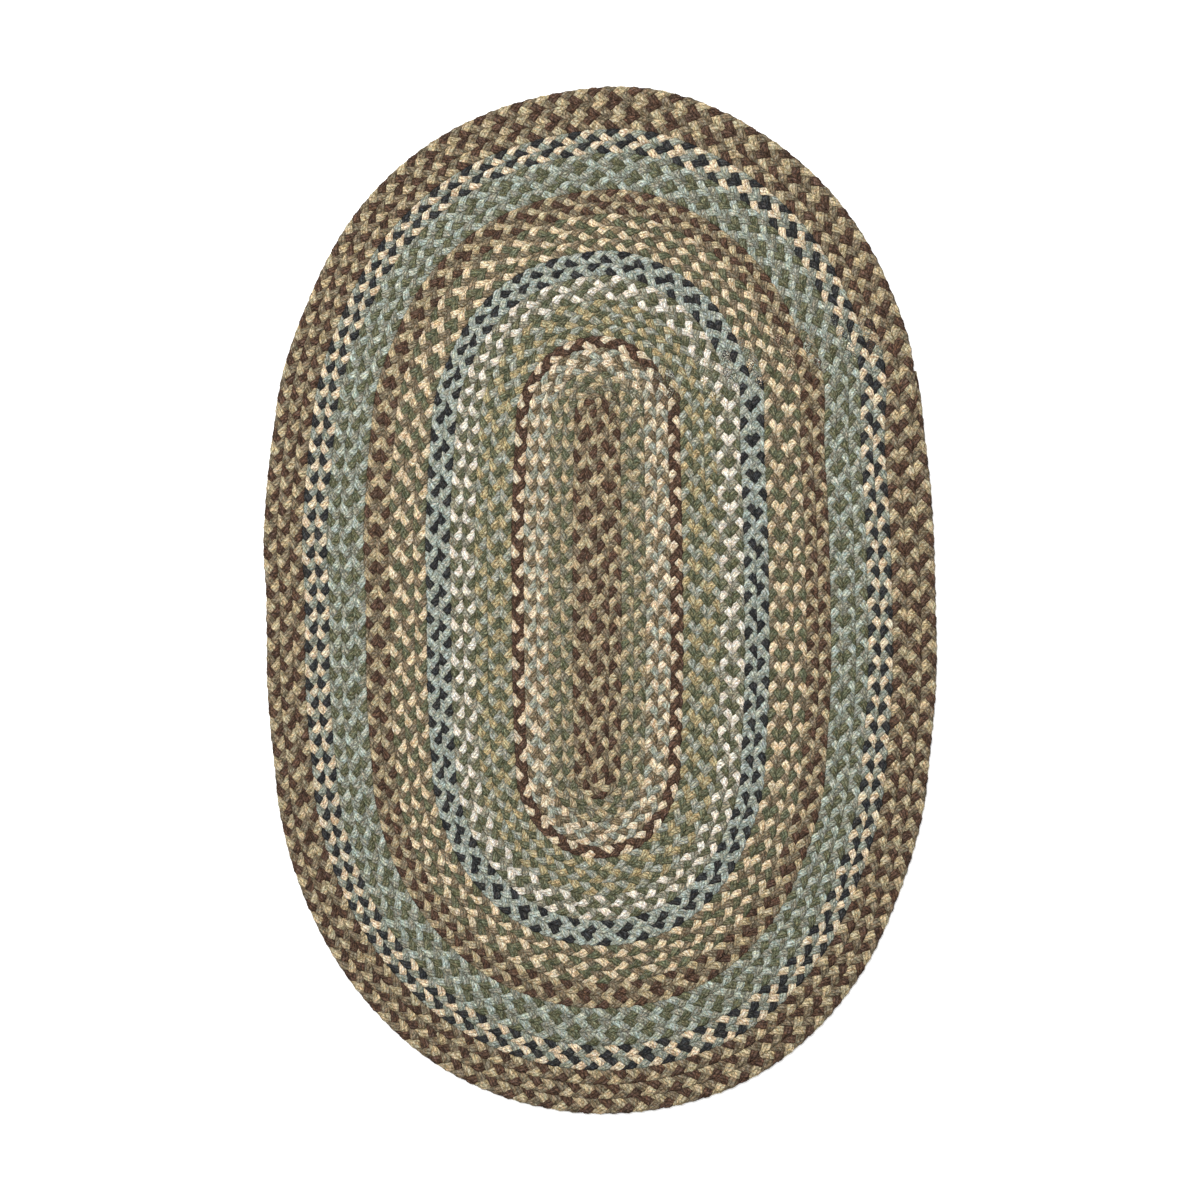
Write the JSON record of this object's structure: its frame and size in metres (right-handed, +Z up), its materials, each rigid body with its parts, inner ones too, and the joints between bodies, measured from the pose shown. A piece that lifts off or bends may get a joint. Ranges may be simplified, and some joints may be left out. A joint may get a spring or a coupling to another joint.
{
  "type": "braided rug",
  "caption": "Oval floor rug made of one flat braid, coiled round a straight middle seam and laced side to side, in bands of mixed earthy yarns.",
  "frame": {"origin": "middle of the rug's box, at the underside, on the floor", "axes": "+Y along the rug's length towards the end where the braid starts, +X across it to the right, +Z up out of the worn face"},
  "size_m": [1.2086, 1.8442, 0.0105],
  "materials": {
    "jute_braid": "matt heathered jute yarn in bands of brown, tan, navy, peach, sage, green and cream"
  },
  "bodies": {
    "root": {"braid_coil": "jute_braid"}
  },
  "joints": []
}
